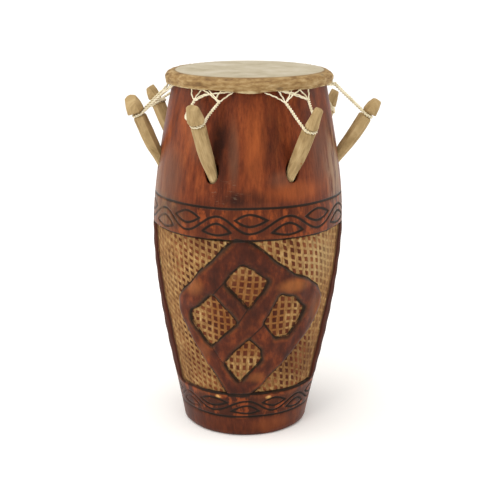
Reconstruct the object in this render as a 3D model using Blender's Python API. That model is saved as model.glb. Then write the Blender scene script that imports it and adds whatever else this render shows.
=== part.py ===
"""Barrel-shaped peg drum, carved from one log, with a laced rawhide head.

Metres, +Z up. The origin is on the floor below the middle of the drum and its pegs together,
and the panel that is best seen faces -Y. Azimuths are degrees round the drum: 0 faces -Y and
90 faces +X.
"""
import math

import bmesh
import bpy
from mathutils import Vector

# The shell: a hollow barrel, widest a little above the middle.
SHELL_HEIGHT = 0.5765
BELLY_RADIUS = 0.1523
FOOT_RADIUS = 0.6645 * BELLY_RADIUS
NECK_RADIUS = 0.7689 * BELLY_RADIUS
BELLY_HEIGHT = 0.5759 * SHELL_HEIGHT
FOOT_FLARE = 0.19
NECK_TAPER = 0.20
WALL = 0.018
FOOT_EDGE = 0.004
RIM_EDGE = 0.003

# The log leans a little: how far the middles of its head and its foot lie towards -X.
HEAD_SHIFT = 0.0054
FOOT_SHIFT = 0.0130

# Two carved bands, each a waved groove between two ring grooves, with leaves in its bends.
# Shares are of the band's height, or of half a wave for a leaf's length.
UPPER_LINES = (0.5898 * SHELL_HEIGHT, 0.6748 * SHELL_HEIGHT)
LOWER_LINES = (0.0633 * SHELL_HEIGHT, 0.1362 * SHELL_HEIGHT)
UPPER_CREST = 24.0
LOWER_CREST = 1.5
WAVES = 8
WAVE_POINTS = 8
WAVE_SHARE = 0.245
LEAF_LENGTH_SHARE = 0.44
LEAF_HEIGHT_SHARE = 0.17
LEAF_OFFSET_SHARE = 0.145
LEAF_FULLNESS = 1.6
LEAF_POINTS = 8
LEAF_SPAN = 90.0
GROOVE_WIDTH = 0.0028
GROOVE_DEPTH = 0.0018
MITRE_LIMIT = 1.6

# Two sunk panels, front and back, each with a raised lozenge that a cross divides.
PANEL_DEPTH = 0.005
PANEL_MARGIN = 0.0008
PANEL_HALF_TOP = 69.5
PANEL_HALF_FOOT = 60.0
PANEL_COLUMNS = 11
PANEL_FLOOR_ROWS = 3

# The lozenge as carved by hand: degrees from the panel's middle, and percent of its height.
LOZENGE = (
    (3, 101), (40, 72.5), (51, 63), (55.5, 54), (50, 43), (33, 25.5), (4, -1),
    (-13.5, -1), (-35, 27), (-45.5, 46), (-49, 53), (-48, 60), (-41, 67.5), (-7.5, 101),
)
WINDOWS = (
    ((-3, 86), (12.5, 76), (9.4, 68.5), (1, 58), (-14, 74)),
    ((-21.5, 65.5), (-5.4, 48.5), (-24, 32.5), (-29, 35.5), (-37.5, 47.5), (-37.5, 53.5)),
    ((21.5, 66), (30, 63), (39, 55.5), (36.5, 47), (28, 38.5), (20, 38.5), (11, 48.5)),
    ((1.5, 38), (10.5, 31), (11, 24), (-4.5, 8), (-16.5, 21)),
)

# The rawhide: a disc wrapped over the rim, folded into a thick collar.
HIDE_THICKNESS = 0.0032
COLLAR_REACH = 0.0144
COLLAR_DROP = 0.0195
COLLAR_ROUND = 0.0125
HEM_REACH = 0.0110
HEM_EDGE = 0.0040

# The pegs: whittled sticks, driven down and in through slanting holes.
PEG_HEIGHT = 0.7684 * SHELL_HEIGHT
PEG_SEAT = 0.046
PEG_TIP_RADIUS = 0.0072
PEG_MOUTH_RADIUS = 0.0102
PEG_NECK_RADIUS = 0.0090
NOTCH_RADIUS = 0.0066
NOTCH_LENGTH = 0.0080
NOTCH_SLOPE = 0.0015
HEAD_LENGTH = 0.026
HEAD_TOP_SHARE = 0.68
HEAD_CHAMFER = 0.002
HOLE_MARGIN = 0.0018
HOLE_OVERRUN = 0.030
WHITTLING = (1.0, 0.93, 1.03, 0.96, 1.0, 0.94, 1.04, 0.95)

# Each peg: azimuth, lean from upright, sideways swing (degrees), length outside, head width.
PEGS = (
    (-24.0, 25.0, -2.5, 0.118, 0.0225),
    (25.5, 27.0, 6.5, 0.118, 0.0190),
    (88.0, 33.0, 0.0, 0.106, 0.0245),
    (129.0, 28.0, 2.0, 0.098, 0.0225),
    (182.0, 17.5, -2.0, 0.107, 0.0235),
    (-123.0, 27.0, 1.0, 0.108, 0.0225),
    (-82.0, 23.0, 0.0, 0.110, 0.0280),
)

# The lacing: a twisted cord round each peg, whose two legs split into strands below the hide.
CORD_RADIUS = 0.0021
CORD_SIDES = 5
STRAND_RADIUS = 0.0011
STRAND_SIDES = 3
LOOP_POINTS = 5
LOOP_HALF_TURN = 100.0
FORK_DROP = 0.0135
FORK_SPREAD = 8.0
FORK_REACH = 0.016
FORK_OVERLAP = 0.003

# Where strands meet the hem, in degrees from the peg, for the left and for the right leg.
FANS = (
    ((-17.5, -9.0, 13.0), (-5.0, 6.0, 14.5)),
    ((-18.0, -8.0, 1.5), (-6.0, 9.0, 16.0)),
)

# How closely neighbours fit, and how finely round shapes are divided.
FIT_GAP = 0.0003
FACETS = 40
PANEL_ROWS = 4
NECK_ROWS = 3
BORE_ROWS = 4
WELD = 0.000001
LEVEL_ANGLE = 0.5

WOOD_RED = (0.200, 0.052, 0.022, 1.0)
WOOD_PALE = (0.520, 0.340, 0.140, 1.0)
RAWHIDE = (0.610, 0.500, 0.310, 1.0)
COTTON = (0.780, 0.700, 0.520, 1.0)

FACET_ANGLE = 360.0 / FACETS
TOTAL_HEIGHT = SHELL_HEIGHT + FIT_GAP + HIDE_THICKNESS
HEM_HEIGHT = TOTAL_HEIGHT - COLLAR_DROP
HEM_RADIUS = NECK_RADIUS + HEM_REACH - HEM_EDGE / 2


def material(name, colour, roughness):
    """One Principled material."""
    made = bpy.data.materials.new(name)
    made.use_nodes = True
    shader = made.node_tree.nodes["Principled BSDF"]
    shader.inputs["Base Color"].default_value = colour
    shader.inputs["Roughness"].default_value = roughness
    shader.inputs["Metallic"].default_value = 0.0
    return made


def add_object(name, bm, surface=None, smooth_angle=30.0):
    """Turn a bmesh into an object in the scene, smooth where its faces meet gently."""
    bmesh.ops.recalc_face_normals(bm, faces=bm.faces)
    mesh = bpy.data.meshes.new(name)
    bm.to_mesh(mesh)
    bm.free()
    mesh.shade_smooth()
    mesh.set_sharp_from_angle(angle=math.radians(smooth_angle))
    made = bpy.data.objects.new(name, mesh)
    if surface is not None:
        mesh.materials.append(surface)
    bpy.context.scene.collection.objects.link(made)
    return made


def combine(body, tool, operation, overlapping=False):
    """Cut or join with a tool object, which stays out of the finished model."""
    tool.hide_render = True
    tool.display_type = "WIRE"
    boolean = body.modifiers.new(tool.name, "BOOLEAN")
    boolean.object = tool
    boolean.operation = operation
    boolean.solver = "EXACT"
    boolean.use_self = overlapping


def ease(start, end, start_slope, end_slope, span, share):
    """A smooth curve between two radii with a given slope at each end."""
    keep_start = 2 * share**3 - 3 * share**2 + 1
    lead_out = (share**3 - 2 * share**2 + share) * span
    lead_in = (share**3 - share**2) * span
    return keep_start * start + (1 - keep_start) * end + lead_out * start_slope + lead_in * end_slope


def barrel_radius(height):
    """Outside radius of the barrel at a height."""
    if height < BELLY_HEIGHT:
        return ease(FOOT_RADIUS, BELLY_RADIUS, FOOT_FLARE, 0.0, BELLY_HEIGHT, height / BELLY_HEIGHT)
    span = SHELL_HEIGHT - BELLY_HEIGHT
    return ease(BELLY_RADIUS, NECK_RADIUS, 0.0, -NECK_TAPER, span, (height - BELLY_HEIGHT) / span)


def between(low, high, steps):
    """Heights that divide a stretch evenly, without its two ends."""
    return [low + (high - low) * step / steps for step in range(1, steps)]


def outer_rows():
    """Heights where the barrel's facets change direction, from foot to rim."""
    rows = [0.0, LOWER_LINES[0], LOWER_LINES[1]]
    rows += between(LOWER_LINES[1], UPPER_LINES[0], PANEL_ROWS)
    rows += [UPPER_LINES[0], UPPER_LINES[1]]
    rows += between(UPPER_LINES[1], SHELL_HEIGHT, NECK_ROWS)
    return rows + [SHELL_HEIGHT]


ROWS = outer_rows()


def row_radius(height):
    """Radius of the barrel between its rows, where its facets run straight."""
    for low, high in zip(ROWS, ROWS[1:]):
        if height <= high:
            share = (height - low) / (high - low)
            return barrel_radius(low) * (1 - share) + barrel_radius(high) * share
    return barrel_radius(ROWS[-1])


def axis_x(height):
    """Where the middle of the leaning log is at a height."""
    share = height / TOTAL_HEIGHT
    return -FOOT_SHIFT * (1 - share) - HEAD_SHIFT * share


def around(azimuth, height, radius):
    """A point at a radius from the leaning axis."""
    turn = math.radians(azimuth)
    return Vector((axis_x(height) + radius * math.sin(turn), -radius * math.cos(turn), height))


def on_barrel(azimuth, height, lift=0.0):
    """A point on the facets of the barrel, lifted off them or sunk into them."""
    half = math.radians(FACET_ANGLE / 2)
    along = math.radians(azimuth % FACET_ANGLE) - half
    return around(azimuth, height, (row_radius(height) + lift) * math.cos(half) / math.cos(along))


def skin(bm, rings, loop=False):
    """Cover a row of closed rings with quads, and cap the two ends of an open row."""
    sides = len(rings[0])
    steps = len(rings) if loop else len(rings) - 1
    grid = bmesh.ops.create_grid(bm, x_segments=steps, y_segments=sides, size=1.0)
    for vert in grid["verts"]:
        step = round((vert.co.x + 1.0) / 2.0 * steps)
        side = round((vert.co.y + 1.0) / 2.0 * sides)
        vert.co = rings[step % len(rings)][side % sides]
    bmesh.ops.remove_doubles(bm, verts=grid["verts"], dist=WELD)
    if not loop:
        bmesh.ops.holes_fill(bm, edges=[edge for edge in bm.edges if edge.is_boundary])


def turned(bm, outline):
    """Turn an outline of (radius, height) points about the leaning axis.

    An outline that starts on the axis also ends there, and any other one is a closed loop.
    """
    points = [bm.verts.new((0.0, -radius, height)) for radius, height in outline]
    edges = [bm.edges.new(pair) for pair in zip(points, points[1:])]
    if outline[0][0] > 0.0:
        edges.append(bm.edges.new((points[-1], points[0])))
    bmesh.ops.spin(
        bm, geom=points + edges, cent=(0, 0, 0), axis=(0, 0, 1),
        angle=math.tau, steps=FACETS, use_merge=True,
    )
    bmesh.ops.remove_doubles(bm, verts=bm.verts, dist=WELD)
    for vert in bm.verts:
        vert.co.x += axis_x(vert.co.z)


def ring_groove(height):
    """Outline points of one ring groove: its lip, its bottom and its other lip."""
    lip = GROOVE_WIDTH / 2
    return [
        (row_radius(height - lip), height - lip),
        (barrel_radius(height) - GROOVE_DEPTH, height),
        (row_radius(height + lip), height + lip),
    ]


def shell_outline():
    """The shell's wall in section: across its foot, up its outside and down its bore."""
    outline = [
        (FOOT_RADIUS - WALL, 0.0),
        (FOOT_RADIUS - FOOT_EDGE, 0.0),
        (row_radius(FOOT_EDGE), FOOT_EDGE),
    ]
    for height in ROWS[1:-1]:
        if height in LOWER_LINES + UPPER_LINES:
            outline += ring_groove(height)
        else:
            outline.append((barrel_radius(height), height))
    edge_height = SHELL_HEIGHT - RIM_EDGE
    outline.append((row_radius(edge_height), edge_height))
    outline.append((NECK_RADIUS - RIM_EDGE, SHELL_HEIGHT))
    outline.append((NECK_RADIUS - WALL, SHELL_HEIGHT))
    for height in reversed(between(0.0, SHELL_HEIGHT, BORE_ROWS)):
        outline.append((barrel_radius(height) - WALL, height))
    return outline


def flat_step(start, end, girth_radius):
    """The step between two (azimuth, height) points, laid flat in metres."""
    turn = (end[0] - start[0] + 180.0) % 360.0 - 180.0
    return Vector((math.radians(turn) * girth_radius, end[1] - start[1]))


def gouge(bm, path, girth_radius):
    """A V-shaped cutter along a closed path of (azimuth, height) points on the barrel."""
    proud = GROOVE_DEPTH / 2
    reach = GROOVE_WIDTH / 2 * (GROOVE_DEPTH + proud) / GROOVE_DEPTH
    rings = []
    for index, (azimuth, height) in enumerate(path):
        ahead = flat_step(path[index], path[(index + 1) % len(path)], girth_radius).normalized()
        behind = flat_step(path[index - 1], path[index], girth_radius).normalized()
        along = (ahead + behind).normalized()
        aside = Vector((along.y, -along.x)) * reach * min(MITRE_LIMIT, 1 / along.dot(ahead))
        turn = math.degrees(aside.x / girth_radius)
        rings.append([
            on_barrel(azimuth + turn, height + aside.y, proud),
            on_barrel(azimuth, height, -GROOVE_DEPTH),
            on_barrel(azimuth - turn, height - aside.y, proud),
        ])
    skin(bm, rings, loop=True)


def wave_path(lines, crest):
    """The waved groove of one band, all the way round."""
    middle = (lines[0] + lines[1]) / 2
    swing = (lines[1] - lines[0]) * WAVE_SHARE
    path = []
    for step in range(WAVES * WAVE_POINTS):
        height = middle + swing * math.cos(math.tau * step / WAVE_POINTS)
        path.append((crest + 360.0 * step / (WAVES * WAVE_POINTS), height))
    return path


def leaf_path(lines, azimuth, side):
    """A pointed leaf above a trough (side 1) or below a crest (side -1)."""
    band = lines[1] - lines[0]
    middle = (lines[0] + lines[1]) / 2 + side * band * LEAF_OFFSET_SHARE
    half_length = 180.0 / WAVES * LEAF_LENGTH_SHARE
    path = []
    for step in range(LEAF_POINTS):
        turn = step * math.tau / LEAF_POINTS
        bulge = math.copysign(1 - abs(math.cos(turn)) ** LEAF_FULLNESS, math.sin(turn))
        height = middle + band * LEAF_HEIGHT_SHARE * bulge
        path.append((azimuth + half_length * math.cos(turn), height))
    return path


def band_cutter(name, lines, crest):
    """The waved groove and the leaves of one band."""
    bm = bmesh.new()
    girth_radius = barrel_radius((lines[0] + lines[1]) / 2)
    gouge(bm, wave_path(lines, crest), girth_radius)
    wave_angle = 360.0 / WAVES
    for wave in range(-WAVES // 2, WAVES // 2):
        top = crest + wave * wave_angle
        for azimuth, side in ((top, -1), (top + wave_angle / 2, 1)):
            if abs(azimuth) < LEAF_SPAN:
                gouge(bm, leaf_path(lines, azimuth, side), girth_radius)
    return add_object(name, bm)


def sides(outline):
    """Each side of a clockwise outline: its first corner and its outward direction."""
    for start, end in zip(outline, outline[1:] + outline[:1]):
        outward = Vector((start[1] - end[1], end[0] - start[0], 0.0)).normalized()
        yield Vector((start[0], start[1], 0.0)), outward


def is_inside(face, outline):
    """Whether a face of a flat sheet lies inside a convex outline."""
    centre = face.calc_center_median()
    return all((centre - corner).dot(outward) < 0 for corner, outward in sides(outline))


def score(bm, outline):
    """Cut a flat sheet along the sides of a convex outline."""
    inside = list(bm.faces)
    for corner, outward in sides(outline):
        edges = {edge for face in inside for edge in face.edges}
        verts = {vert for face in inside for vert in face.verts}
        cut = bmesh.ops.bisect_plane(
            bm, geom=inside + list(edges) + list(verts), dist=0.0001,
            plane_co=corner, plane_no=outward,
        )
        faces = [item for item in cut["geom"] if isinstance(item, bmesh.types.BMFace)]
        inside = [face for face in faces if (face.calc_center_median() - corner).dot(outward) < 0]


def panel_cutter(name, centre):
    """What is carved away from one panel: the field round the lozenge, and its windows."""
    border = (
        (-PANEL_HALF_TOP, 100), (PANEL_HALF_TOP, 100), (PANEL_HALF_FOOT, 0), (-PANEL_HALF_FOOT, 0),
    )
    bm = bmesh.new()
    bmesh.ops.create_grid(bm, x_segments=PANEL_COLUMNS, y_segments=PANEL_FLOOR_ROWS, size=1.0)
    for vert in bm.verts:
        vert.co.x *= PANEL_HALF_TOP
        vert.co.y = 50.0 * (1.0 + vert.co.y)
    for outline in (border, LOZENGE) + WINDOWS:
        score(bm, outline)
    left_standing = []
    for face in bm.faces:
        in_window = any(is_inside(face, window) for window in WINDOWS)
        raised = is_inside(face, LOZENGE) and not in_window
        if raised or not is_inside(face, border):
            left_standing.append(face)
    bmesh.ops.delete(bm, geom=left_standing, context="FACES")
    raised = bmesh.ops.extrude_face_region(bm, geom=bm.faces[:], use_keep_orig=True)
    for item in raised["geom"]:
        if isinstance(item, bmesh.types.BMVert):
            item.co.z = 1.0
    foot = LOWER_LINES[1] - PANEL_MARGIN
    height = UPPER_LINES[0] + PANEL_MARGIN - foot
    for vert in bm.verts:
        lift = 2 * PANEL_DEPTH * vert.co.z - PANEL_DEPTH
        vert.co = on_barrel(centre + vert.co.x, foot + height * vert.co.y / 100.0, lift)
    return add_object(name, bm)


def peg_frame(azimuth, lean, swing):
    """Where a peg enters the shell, its axis, and its outward and sideways directions."""
    turn = math.radians(azimuth)
    radial = Vector((math.sin(turn), -math.cos(turn), 0.0))
    tangent = Vector((math.cos(turn), math.sin(turn), 0.0))
    axis = radial * math.sin(math.radians(lean)) + tangent * math.sin(math.radians(swing))
    axis.z = math.cos(math.radians(lean))
    axis.normalize()
    outward = (radial - axis * radial.dot(axis)).normalized()
    return on_barrel(azimuth, PEG_HEIGHT), axis, outward, axis.cross(outward)


def peg_ring(frame, distance, radius):
    """One whittled section of a peg, at a distance along its axis from the shell's surface."""
    mouth, axis, outward, aside = frame
    ring = []
    for side, cut in enumerate(WHITTLING):
        turn = math.tau * (side + 0.5) / len(WHITTLING)
        direction = outward * math.cos(turn) + aside * math.sin(turn)
        ring.append(mouth + axis * distance + direction * radius * cut)
    return ring


def add_peg(name, frame, length, head_width, surface):
    """One peg: a tapered stick with a notch for the cord below its head."""
    head = length - HEAD_LENGTH
    notch = head - NOTCH_LENGTH
    head_radius = head_width / 2
    sections = (
        (-PEG_SEAT, PEG_TIP_RADIUS),
        (0.0, PEG_MOUTH_RADIUS),
        (notch, PEG_NECK_RADIUS),
        (notch + NOTCH_SLOPE, NOTCH_RADIUS),
        (head, NOTCH_RADIUS),
        (head + NOTCH_SLOPE, head_radius),
        (length - HEAD_CHAMFER, head_radius * HEAD_TOP_SHARE),
        (length, head_radius * HEAD_TOP_SHARE - HEAD_CHAMFER),
    )
    bm = bmesh.new()
    skin(bm, [peg_ring(frame, distance, radius) for distance, radius in sections])
    return add_object(name, bm, surface)


def hole_cutter(name, frames):
    """The slanting holes, each with a mouth that is a little too wide for its peg."""
    seat = PEG_TIP_RADIUS + 2 * FIT_GAP
    mouth = PEG_MOUTH_RADIUS + HOLE_MARGIN
    bm = bmesh.new()
    sections = (
        (-PEG_SEAT - HOLE_OVERRUN, seat),
        (-PEG_SEAT, seat),
        (0.0, mouth),
        (HOLE_OVERRUN, mouth),
    )
    for frame in frames:
        skin(bm, [peg_ring(frame, distance, radius) for distance, radius in sections])
    return add_object(name, bm)


def tube(bm, route, radius, side_count):
    """A round tube along a route of points."""
    rings = []
    upright = Vector((0.0, 0.0, 1.0))
    for index, point in enumerate(route):
        along = (route[min(index + 1, len(route) - 1)] - route[max(index - 1, 0)]).normalized()
        across = along.cross(upright).normalized()
        over = across.cross(along)
        turns = [math.tau * side / side_count for side in range(side_count)]
        rings.append([point + (across * math.cos(t) + over * math.sin(t)) * radius for t in turns])
    skin(bm, rings)


def add_lacing(name, frame, length, fan, surface):
    """The cord round one peg's notch, and the strands from its two legs to the hem."""
    mouth, axis, outward, aside = frame
    centre = mouth + axis * (length - HEAD_LENGTH - NOTCH_LENGTH / 2 + NOTCH_SLOPE / 2)
    azimuth = math.degrees(math.atan2(centre.x - axis_x(centre.z), -centre.y))
    half_step = math.radians(LOOP_HALF_TURN / (LOOP_POINTS - 1))
    reach = (NOTCH_RADIUS * max(WHITTLING) + FIT_GAP + CORD_RADIUS) / math.cos(half_step)
    forks = []
    for side in (-1, 1):
        fork_radius = HEM_RADIUS + FORK_REACH
        forks.append(around(azimuth + side * FORK_SPREAD, HEM_HEIGHT - FORK_DROP, fork_radius))
    route = [forks[0]]
    for step in range(LOOP_POINTS):
        turn = math.radians(LOOP_HALF_TURN * (2 * step / (LOOP_POINTS - 1) - 1))
        route.append(centre + (outward * math.cos(turn) + aside * math.sin(turn)) * reach)
    route.append(forks[1])
    bm = bmesh.new()
    tube(bm, route, CORD_RADIUS, CORD_SIDES)
    made = add_object(name, bm, surface)
    bm = bmesh.new()
    for fork, leg, offsets in ((forks[0], route[1], fan[0]), (forks[1], route[-2], fan[1])):
        start = fork + (leg - fork).normalized() * FORK_OVERLAP
        for offset in offsets:
            end = around(azimuth + offset, HEM_HEIGHT - FIT_GAP - STRAND_RADIUS, HEM_RADIUS)
            tube(bm, [start, end], STRAND_RADIUS, STRAND_SIDES)
    combine(made, add_object(name + "_strands", bm), "UNION", overlapping=True)
    return made


def add_shell(frames, surface):
    """The carved log."""
    bm = bmesh.new()
    turned(bm, shell_outline())
    shell = add_object("shell", bm, surface)
    combine(shell, panel_cutter("front_panel", 0.0), "DIFFERENCE")
    combine(shell, panel_cutter("back_panel", 180.0), "DIFFERENCE")
    combine(shell, band_cutter("upper_band", UPPER_LINES, UPPER_CREST), "DIFFERENCE")
    combine(shell, band_cutter("lower_band", LOWER_LINES, LOWER_CREST), "DIFFERENCE")
    combine(shell, hole_cutter("peg_holes", frames), "DIFFERENCE")
    merge = shell.modifiers.new("level_faces", "DECIMATE")
    merge.decimate_type = "DISSOLVE"
    merge.angle_limit = math.radians(LEVEL_ANGLE)


def add_hide(surface):
    """The rawhide head, over the rim and down into its rolled collar."""
    collar_radius = NECK_RADIUS + COLLAR_REACH
    outline = [(0.0, TOTAL_HEIGHT)]
    for degrees in (0, 45, 90):
        turn = math.radians(degrees)
        radius = collar_radius - COLLAR_ROUND * (1 - math.sin(turn))
        outline.append((radius, TOTAL_HEIGHT - COLLAR_ROUND * (1 - math.cos(turn))))
    outline.append((NECK_RADIUS + HEM_REACH, HEM_HEIGHT))
    outline.append((NECK_RADIUS + HEM_REACH - HEM_EDGE, HEM_HEIGHT))
    inner_height = HEM_HEIGHT + HEM_EDGE / 2
    outline.append((row_radius(inner_height) + FIT_GAP, inner_height))
    edge_height = SHELL_HEIGHT - RIM_EDGE
    outline.append((row_radius(edge_height) + FIT_GAP, edge_height))
    outline.append((NECK_RADIUS - RIM_EDGE + FIT_GAP, SHELL_HEIGHT + FIT_GAP))
    outline.append((0.0, SHELL_HEIGHT + FIT_GAP))
    bm = bmesh.new()
    turned(bm, outline)
    add_object("hide_head", bm, surface)


def build():
    """The whole drum."""
    for item in list(bpy.data.objects):
        bpy.data.objects.remove(item, do_unlink=True)
    frames = [peg_frame(azimuth, lean, swing) for azimuth, lean, swing, _, _ in PEGS]
    add_shell(frames, material("red_hardwood", WOOD_RED, 0.5))
    add_hide(material("rawhide", RAWHIDE, 0.6))
    pale_wood = material("pale_hardwood", WOOD_PALE, 0.65)
    cotton = material("cotton_cord", COTTON, 0.85)
    for index, (frame, peg) in enumerate(zip(frames, PEGS)):
        length, head_width = peg[3:]
        add_peg(f"peg_{index + 1}", frame, length, head_width, pale_wood)
        add_lacing(f"lacing_{index + 1}", frame, length, FANS[index % len(FANS)], cotton)


build()
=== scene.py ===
import math

import bmesh
import bpy
import numpy as np
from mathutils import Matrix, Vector, noise


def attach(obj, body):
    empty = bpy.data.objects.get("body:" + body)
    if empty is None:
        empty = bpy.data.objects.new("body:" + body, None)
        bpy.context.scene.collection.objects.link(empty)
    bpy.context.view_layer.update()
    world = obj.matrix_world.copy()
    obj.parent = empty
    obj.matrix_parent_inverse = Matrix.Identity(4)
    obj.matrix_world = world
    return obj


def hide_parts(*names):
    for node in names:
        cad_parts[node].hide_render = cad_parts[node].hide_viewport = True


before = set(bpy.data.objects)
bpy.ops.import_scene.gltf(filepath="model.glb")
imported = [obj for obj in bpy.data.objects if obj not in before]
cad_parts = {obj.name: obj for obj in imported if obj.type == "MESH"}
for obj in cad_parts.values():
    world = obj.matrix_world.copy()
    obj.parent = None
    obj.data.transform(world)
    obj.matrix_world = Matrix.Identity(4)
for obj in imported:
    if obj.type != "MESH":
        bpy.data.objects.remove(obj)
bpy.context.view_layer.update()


# THE LOG. One piece of hardwood, shaped by hand into a barrel, hollowed from end to end, carved
# with two bands and two sunk panels, and stained a reddish brown that wear has thinned on edges.
# Azimuths are degrees round the drum: 0 faces -Y and 90 faces +X. Every length is in metres.
TOTAL_HEIGHT = 0.58
SHELL_HEIGHT = 0.5765
FOOT_RADIUS = 0.1012
BELLY_RADIUS = 0.1523
NECK_RADIUS = 0.1171
BELLY_HEIGHT = 0.332
FOOT_FLARE = 0.19
NECK_TAPER = 0.2
WALL = 0.018
FOOT_EDGE = 0.004
RIM_EDGE = 0.003
HEAD_SHIFT = 0.0054
MIDDLE_SHIFT = 0.009
FOOT_SHIFT = 0.013
COLUMNS = 432
SAME_PLACE = 0.000001


def ease(start, end, start_slope, end_slope, span, share):
    """A smooth curve between two radii with a given slope at each end."""
    keep_start = 2 * share**3 - 3 * share**2 + 1
    lead_out = (share**3 - 2 * share**2 + share) * span * start_slope
    lead_in = (share**3 - share**2) * span * end_slope
    return keep_start * start + (1 - keep_start) * end + lead_out + lead_in


def barrel_radius(height):
    """Outside radius of the log at a height."""
    span = SHELL_HEIGHT - BELLY_HEIGHT
    low = ease(FOOT_RADIUS, BELLY_RADIUS, FOOT_FLARE, 0.0, BELLY_HEIGHT, height / BELLY_HEIGHT)
    high = ease(BELLY_RADIUS, NECK_RADIUS, 0.0, -NECK_TAPER, span, (height - BELLY_HEIGHT) / span)
    return np.where(height < BELLY_HEIGHT, low, high)


def axis_x(height):
    """Where the middle of the leaning log is at a height."""
    share = height / TOTAL_HEIGHT
    return -FOOT_SHIFT * (1 - share) - HEAD_SHIFT * share


def around(azimuth, height, radius):
    """A point at a radius from the leaning axis."""
    turn = math.radians(azimuth)
    return Vector((axis_x(height) + radius * math.sin(turn), -radius * math.cos(turn), height))


def rows_between(low, high, step):
    """Heights from low up to high, about a step apart, without the last one."""
    return list(np.linspace(low, high, max(1, round((high - low) / step)), endpoint=False))


def finished(name, bm, smooth_angle=40.0):
    """Turn a bmesh into an object whose gentle edges are shaded smooth."""
    bmesh.ops.recalc_face_normals(bm, faces=bm.faces)
    mesh = bpy.data.meshes.new(name)
    bm.to_mesh(mesh)
    bm.free()
    mesh.shade_smooth()
    mesh.set_sharp_from_angle(angle=math.radians(smooth_angle))
    made = bpy.data.objects.new(name, mesh)
    bpy.context.scene.collection.objects.link(made)
    return made


def turned(bm, outline, columns):
    """Spin an outline of (radius, height) points about the upright axis."""
    points = [bm.verts.new((0.0, -radius, height)) for radius, height in outline]
    edges = [bm.edges.new(pair) for pair in zip(points, points[1:])]
    if outline[0][0] > 0.0:
        edges.append(bm.edges.new((points[-1], points[0])))
    bmesh.ops.spin(
        bm, geom=points + edges, cent=(0, 0, 0), axis=(0, 0, 1),
        angle=math.tau, steps=columns, use_merge=True,
    )
    bmesh.ops.remove_doubles(bm, verts=bm.verts, dist=SAME_PLACE)


def places(mesh):
    """The places of a mesh's points, as an array."""
    found = np.zeros(len(mesh.vertices) * 3)
    mesh.vertices.foreach_get("co", found)
    return found.reshape(-1, 3)


def put(mesh, points):
    """Move a mesh's points to an array of places."""
    mesh.vertices.foreach_set("co", points.ravel())
    mesh.update()


def polar(points, lean=0.0):
    """Azimuths and radii of an array of places, about an axis that leans so far along X."""
    from_axis = points[:, 0] - lean
    return np.degrees(np.arctan2(from_axis, -points[:, 1])), np.hypot(from_axis, points[:, 1])


# Heights of the ring lines, and the waves between them: where round the drum each crest and
# each trough was cut, counted in waves.
RINGS = (0.0365, 0.0785, 0.34, 0.389)
WAVES = 8
BAND_RADIUS = 0.13
LOWER_WAVE = dict(middle=0.0555, swing=0.01, cuts=(
    (-53.0, -1.0), (-28.0, -0.5), (1.5, 0.0), (24.0, 0.5), (46.5, 1.0), (307.0, 7.0)))
UPPER_WAVE = dict(middle=0.3635, swing=0.0125, cuts=(
    (-57.0, -2.0), (-38.0, -1.5), (-18.0, -1.0), (1.0, -0.5), (24.0, 0.0), (45.0, 0.5),
    (68.0, 1.0), (303.0, 6.0)))
LEAF_HALF_LENGTH = 0.217
LEAF_FULLNESS = 1.7
# A leaf's ends and its two edges, in swings from the wave's middle: below a crest, above a trough.
LEAVES = ((0.0, -0.88, 0.15, -1.28), (0.5, 0.63, -0.12, 1.35))
GROOVE_REACH = 0.0015
GROOVE_DEPTH = 0.0018
FAR = 0.05


def wave_lines(azimuth, height, wave):
    """Signed distances from one band's waved line and from its leaves."""
    marks, counts = zip(*wave["cuts"])
    turned_on = np.where(azimuth < marks[0], azimuth + 360.0, azimuth)
    count = np.interp(turned_on, marks, counts)
    girth = np.radians(360.0 / WAVES) * BAND_RADIUS
    swing = wave["swing"]
    steepness = math.tau * swing / girth
    crest_line = wave["middle"] + swing * np.cos(math.tau * count)
    line = (height - crest_line) / np.sqrt(1 + (steepness * np.sin(math.tau * count)) ** 2)
    leaves = np.full_like(line, FAR)
    for start, end, inner, outer in LEAVES:
        along = (count - start - np.round(count - start)) / LEAF_HALF_LENGTH
        filled = 1 - np.abs(along) ** LEAF_FULLNESS
        slope = LEAF_FULLNESS * np.abs(along) ** (LEAF_FULLNESS - 1) / (LEAF_HALF_LENGTH * girth)
        base = wave["middle"] + swing * end
        sign = 1 if inner > end else -1
        edges = []
        for direction, edge in ((sign, inner), (-sign, outer)):
            reach = swing * (edge - end)
            past = (height - base - reach * filled) * direction
            edges.append(past / np.sqrt(1 + (reach * slope) ** 2))
        leaf = np.maximum(edges[0], edges[1])
        leaves = np.where(np.abs(leaf) < np.abs(leaves), leaf, leaves)
    return line, leaves


# The panels, front and back: a raised lozenge that a cross divides, in a sunk field. Corners are
# degrees from the panel's middle and percent of its height. The knife took off the corners of the
# lozenge and of the windows between its bars, and left the windows a little wide.
PANEL_DEPTH = 0.005
PANEL_TOP = 0.34
PANEL_FOOT = 0.0785
PANEL_DEGREE = 0.00244
BORDER = ((-75.5, 100), (75.5, 100), (66, 45), (64.5, 0), (-64.5, 0), (-66, 45))
LOZENGE = (
    (3, 99), (20, 84.5), (29, 78), (41, 73), (50, 66.5), (54.5, 60), (55.5, 54), (50, 43),
    (33, 25.5), (4, -1), (-13.5, -1), (-35, 27), (-45.5, 46), (-49, 53), (-48, 60), (-41, 67.5),
    (-7.5, 101),
)
WINDOWS = (
    ((-3, 86), (12.5, 76), (9.4, 68.5), (1, 58), (-14, 74)),
    ((-21.5, 65.5), (-5.4, 48.5), (-24, 32.5), (-29, 35.5), (-37.5, 47.5), (-37.5, 53.5)),
    ((21.5, 66), (30, 63), (39, 55.5), (36.5, 47), (28, 38.5), (20, 38.5), (11, 48.5)),
    ((1.5, 38), (10.5, 31), (11, 24), (-4.5, 8), (-16.5, 21)),
)
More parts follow.
